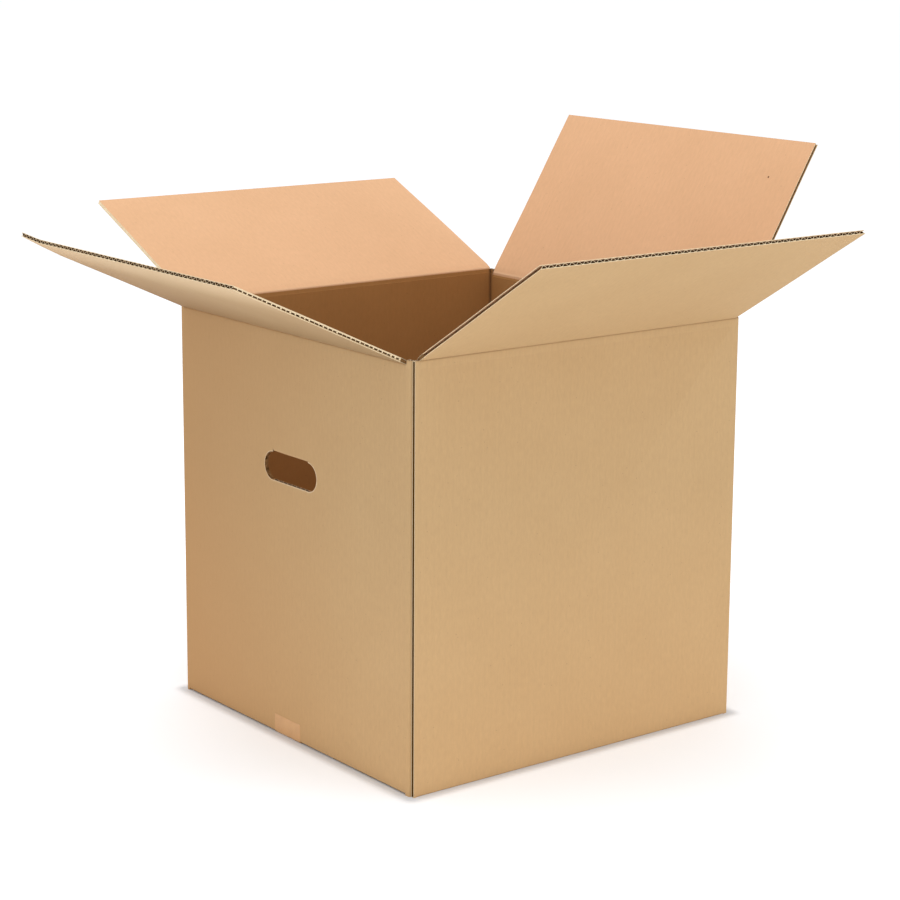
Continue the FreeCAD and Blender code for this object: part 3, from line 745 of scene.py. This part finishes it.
def add_flutes(mesh, flap):
    """The fluted paper between the liners, from the crushed crease to the flap's tip."""
    start = CRUSH_LENGTH - MM
    depth = flap.reach - start - 0.3 * MM
    rise = BOARD_THICKNESS - 2 * LINER - FLUTE_PAPER
    sheet = grown_mesh(FLUTE_TREE, {
        "Width": flap.width - 0.4 * MM, "Depth": depth,
        "Flutes": round(flap.width / FLUTE_PITCH), "Height": rise, "Seed": float(flap.seed),
        "Material": SHADED_FLUTED})
    line, along = turning_line(flap), along_crease(flap)
    middle = BOARD_THICKNESS / 2 - HINGE_DEPTH - FLUTE_PAPER / 2
    maps = mesh.loops.layers.uv.verify()
    spots = []
    for vertex in sheet.vertices:
        across, run, lift = vertex.co.x, start + depth / 2 + vertex.co.y, middle + vertex.co.z
        inward, up = on_flap(flap, lift, run)
        spots.append((mesh.verts.new(line + along * across + flap.inward * inward + UP * up),
                      (across, CREASE_HEIGHT + run)))
    made = []
    for polygon in sheet.polygons:
        face = mesh.faces.new([spots[number][0] for number in polygon.vertices])
        for loop, number in zip(face.loops, polygon.vertices):
            loop[maps].uv = spots[number][1]
        nearest = min(sheet.vertices[number].co.y for number in polygon.vertices)
        face.material_index = CUT if nearest > depth / 2 - 0.1 * MM else SHADED_FLUTE
        made.append(face)
    bmesh.ops.recalc_face_normals(mesh, faces=made)
    bpy.data.meshes.remove(sheet)


def web_piece(mesh, flap, start, end, low=0.0, high=1.0, material=CUT):
    """A piece of the fluted paper's web on the flap's side, from start to end along the cut.
    low and high give the share of the gap between the liners that it covers."""
    gap = BOARD_THICKNESS - LINER
    outside = LINER / 2 - HINGE_DEPTH + gap * low
    inside = LINER / 2 - HINGE_DEPTH + gap * high
    line, along = turning_line(flap), along_crease(flap)
    maps = mesh.loops.layers.uv.verify()
    corners = []
    for across in (flap.width / 2 - WEB_DEPTH, flap.width / 2 - WEB_DEPTH - WEB_PAPER):
        for depth, run in ((outside, start), (inside, start), (inside, end), (outside, end)):
            inward, up = on_flap(flap, depth, run)
            spot = line + along * across * flap.closed + flap.inward * inward + UP * up
            corners.append((mesh.verts.new(spot), (across, CREASE_HEIGHT + run)))
    sides = [(0, 1, 2, 3), (4, 5, 6, 7)]
    sides += [(corner, (corner + 1) % 4, (corner + 1) % 4 + 4, corner + 4) for corner in range(4)]
    made = []
    for side in sides:
        face = mesh.faces.new([corners[number][0] for number in side])
        for loop, number in zip(face.loops, side):
            loop[maps].uv = corners[number][1]
        face.material_index = material
        made.append(face)
    bmesh.ops.recalc_face_normals(mesh, faces=made)


def close_side(mesh, flap):
    """Where the side cut runs along a web, the web closes the edge, or it is torn open along
    a slit with some pieces left in it."""
    chance = random.Random(flap.seed)
    start, end = CRUSH_LENGTH, flap.reach - 0.2 * MM
    if flap.shreds == 0:
        web_piece(mesh, flap, start, end)
        return
    web_piece(mesh, flap, start, end, 0.0, SLIT_LOW, OUTER)
    web_piece(mesh, flap, start, end, SLIT_HIGH, 1.0)
    length = (end - start) / flap.shreds
    for number in range(flap.shreds):
        place = start + number * length
        shred = length * chance.uniform(*SHRED_SHARES)
        web_piece(mesh, flap, place, place + shred, SLIT_LOW, SLIT_HIGH)


def bow(mesh, flap):
    """The flap's sheet waves a little, stays flat at its crease and its tip, and its far
    corner lifts where the flap has a lift."""
    line, along = turning_line(flap), along_crease(flap)
    lean = UP * math.cos(flap.tilt) - flap.inward * math.sin(flap.tilt)
    out = flap.inward * math.cos(flap.tilt) + UP * math.sin(flap.tilt)
    for vertex in mesh.verts:
        place = vertex.co - line
        part = min(max(place.dot(lean) / flap.reach, 0.0), 1.0)
        wave = noise.noise(Vector((place.dot(along) * BOW_DETAIL, part, flap.seed)))
        vertex.co += out * BOW_HEIGHT * wave * math.sin(math.pi * part) ** 2
        across = place.dot(along) / (flap.width / 2)
        raised = max(0.0, part - CORNER_START) * max(0.0, across - CORNER_START)
        vertex.co += out * flap.lift * min(1.0, raised / (1 - CORNER_START) ** 2)


def make_flap(flap):
    """One top flap: two liners, the paper between them, crushed and bent at the crease."""
    outer, inner = skin_paths(flap)
    mesh = bmesh.new()
    sweep(mesh, flap, outer + offset_path(outer, -LINER)[::-1], OUTER)
    sweep(mesh, flap, inner + offset_path(inner, LINER)[::-1], INNER)
    outside = [spot for spot in offset_path(outer, -LINER / 2) if spot[2] < CRUSH_LENGTH + MM]
    inside = [spot for spot in offset_path(inner, LINER / 2) if spot[2] < CRUSH_LENGTH + MM]
    sweep(mesh, flap, outside + inside[::-1], SHADED_FLUTE)
    add_flutes(mesh, flap)
    if flap.closed:
        close_side(mesh, flap)
    bow(mesh, flap)
    board = finished(mesh, f"{flap.name}_flap_board")
    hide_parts(f"{flap.name}_top_flap")
    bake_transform(board)


# Carton body


def wall_place(face_normal, spot):
    """A place on the board's own map: along the wall, then up it."""
    sideways, deep, level = (abs(part) for part in face_normal)
    if level > max(sideways, deep):
        return (spot.x, spot.y)
    return (spot.y, spot.z) if sideways > deep else (spot.x, spot.z)


def edge_place(face, spot):
    """A place on a cut edge: along it, then across the board's thickness."""
    low = Vector(min(vertex.co[axis] for vertex in face.verts) for axis in range(3))
    high = Vector(max(vertex.co[axis] for vertex in face.verts) for axis in range(3))
    axes = sorted(range(3), key=lambda axis: high[axis] - low[axis])
    return (spot[axes[2]], spot[axes[1]] - low[axes[1]])


def is_cut_edge(face):
    """A flat face square to the axes that is no wider than the board is thick."""
    square = max(abs(part) for part in face.normal) > 0.9999
    longest = max(edge.calc_length() for edge in face.edges)
    return square and face.calc_area() / longest < BOARD_THICKNESS + CUT_EDGE_PLAY


def in_hand_hole(face):
    """The board's thickness around a hand hole."""
    centre = face.calc_center_median()
    in_wall = HALF_LENGTH - BOARD_THICKNESS - 0.1 * MM < abs(centre.x) < HALF_LENGTH + 0.1 * MM
    beside = abs(centre.y) < HAND_HOLE_LENGTH / 2 + MM
    level = abs(centre.z - HAND_HOLE_CENTRE) < HAND_HOLE_HEIGHT / 2 + MM
    return in_wall and beside and level and abs(face.normal.x) < 0.1


def open_seam(mesh):
    """The front wall's cut edge at the glued corner stops short of it, along an open flute."""
    for vertex in mesh.verts:
        if vertex.co.x < -HALF_LENGTH + PROUD and vertex.co.y < -HALF_WIDTH + BOARD_THICKNESS + PROUD:
            vertex.co.x += SEAM_SETBACK
    seam = [face for face in mesh.faces if face.normal.x < -0.99 and is_cut_edge(face)
            and face.calc_center_median().y < -HALF_WIDTH + BOARD_THICKNESS
            and max(edge.calc_length() for edge in face.edges) > CREASE_HEIGHT / 2]
    rims = bmesh.ops.inset_individual(mesh, faces=seam, thickness=SEAM_RIM)["faces"]
    sides = bmesh.ops.inset_individual(mesh, faces=seam, thickness=PROUD, depth=-SEAM_DEPTH)["faces"]
    for face in rims:
        face.material_index = CUT
    # Walls and floor of the open flute: painted shade
    for face in sides + seam:
        face.material_index = SHADED_DEEP


def make_carton():
    """The walls and the taped bottom, dressed as board, with bare cut edges."""
    node = frame["nodes"]["carton_body"]
    mesh = bmesh.new()
    mesh.from_mesh(node.data)
    bmesh.ops.remove_doubles(mesh, verts=mesh.verts, dist=MERGE_DISTANCE)
    bmesh.ops.dissolve_limit(mesh, angle_limit=FLAT_ANGLE, verts=mesh.verts, edges=mesh.edges)
    mesh.normal_update()
    maps = mesh.loops.layers.uv.verify()
    for face in mesh.faces:
        centre = face.calc_center_median()
        outward = face.normal.x * centre.x + face.normal.y * centre.y
        if abs(face.normal.z) > 0.7:
            outward = -face.normal.z
        edge = is_cut_edge(face)
        # Faces turned into the box take the painted shade of the walls' inside
        face.material_index = OUTER if outward > 0 else SHADED_INSIDE
        if edge:
            face.material_index = EDGE
        # The hand holes' cut board takes the fluted paper's painted shade
        if in_hand_hole(face) and abs(face.normal.y) > 0.2:
            face.material_index = SHADED_FLUTE
        for loop in face.loops:
            spot = loop.vert.co
            loop[maps].uv = edge_place(face, spot) if edge else wall_place(face.normal, spot)
    open_seam(mesh)
    carton = finished(mesh, "carton_board")
    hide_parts("carton_body")
    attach(carton, "carton")


# Stage, light and camera


def glow_floor():
    """A white floor that stays white to its edge, with a painted soft contact shadow:
    its glow fades out near the box and is off under it."""
    material = bpy.data.materials.new("white floor")
    material.use_nodes = True
    tree = material.node_tree
    surface = tree.nodes["Principled BSDF"]
    axes = body_axes(tree)
    beyond = []
    for axis, half in (("X", HALF_LENGTH), ("Y", HALF_WIDTH)):
        past = math_node(tree, "SUBTRACT", math_node(tree, "ABSOLUTE", axes[axis]), half)
        past = math_node(tree, "MAXIMUM", past, 0.0)
        beyond.append(math_node(tree, "MULTIPLY", past, past))
    away = math_node(tree, "SQRT", math_node(tree, "ADD", beyond[0], beyond[1]))
    glow = ranged(tree, away, 0.0, FLOOR_GLOW, 0.0, SHADOW_REACH, "SMOOTHERSTEP")
    tree.links.new(glow, surface.inputs["Emission Strength"])
    surface.inputs["Base Color"].default_value = FLOOR_WHITE
    surface.inputs["Roughness"].default_value = 1.0
    surface.inputs["Specular IOR Level"].default_value = 0.0
    surface.inputs["Emission Color"].default_value = WHITE
    return material


def make_stage():
    """The white floor and an even white sky."""
    bpy.ops.mesh.primitive_circle_add(vertices=64, radius=FLOOR_RADIUS, fill_type="NGON")
    floor = bpy.context.object
    floor.name = "floor"
    floor.data.materials.append(glow_floor())
    world = bpy.data.worlds.new("studio")
    bpy.context.scene.world = world
    world.use_nodes = True
    sky = world.node_tree.nodes["Background"]
    sky.inputs["Color"].default_value = WHITE
    sky.inputs["Strength"].default_value = SKY_STRENGTH


def make_softbox(box):
    """A round lamp at its place, turned to what it lights."""
    lamp = bpy.data.lights.new(box.name, "AREA")
    lamp.shape = "DISK"
    lamp.size = box.diameter
    lamp.energy = box.power
    made = new_object(box.name, lamp)
    made.location = box.place
    way = Vector(box.aim) - Vector(box.place)
    made.rotation_euler = way.to_track_quat("-Z", "Y").to_euler()


def make_camera():
    """The camera, from its azimuth, elevation and roll around the line it looks along."""
    azimuth, elevation, roll = (math.radians(angle) for angle in CAMERA_ANGLES)
    back = Vector((math.sin(azimuth) * math.cos(elevation),
                   -math.cos(azimuth) * math.cos(elevation), math.sin(elevation)))
    level = Vector((math.cos(azimuth), math.sin(azimuth), 0))
    upright = back.cross(level)
    right = level * math.cos(roll) + upright * math.sin(roll)
    top = upright * math.cos(roll) - level * math.sin(roll)
    turned = Matrix((right, top, back)).transposed().to_4x4()
    turned.translation = Vector(CAMERA_PLACE)
    camera = bpy.data.cameras.new("camera")
    made = new_object("camera", camera)
    made.matrix_world = turned
    camera.sensor_width = SENSOR_WIDTH
    camera.lens = CAMERA_LENS
    camera.shift_x = CAMERA_SHIFT
    camera.shift_y = CAMERA_SHIFT
    bpy.context.scene.camera = made


for flap in FLAPS:
    make_flap(flap)
make_carton()
tape = frame["nodes"]["bottom_tape"]
tape.data.materials.clear()
tape.data.materials.append(TAPE)
make_stage()
for box in SOFTBOXES:
    make_softbox(box)
make_camera()
bpy.context.scene.view_settings.view_transform = "Standard"
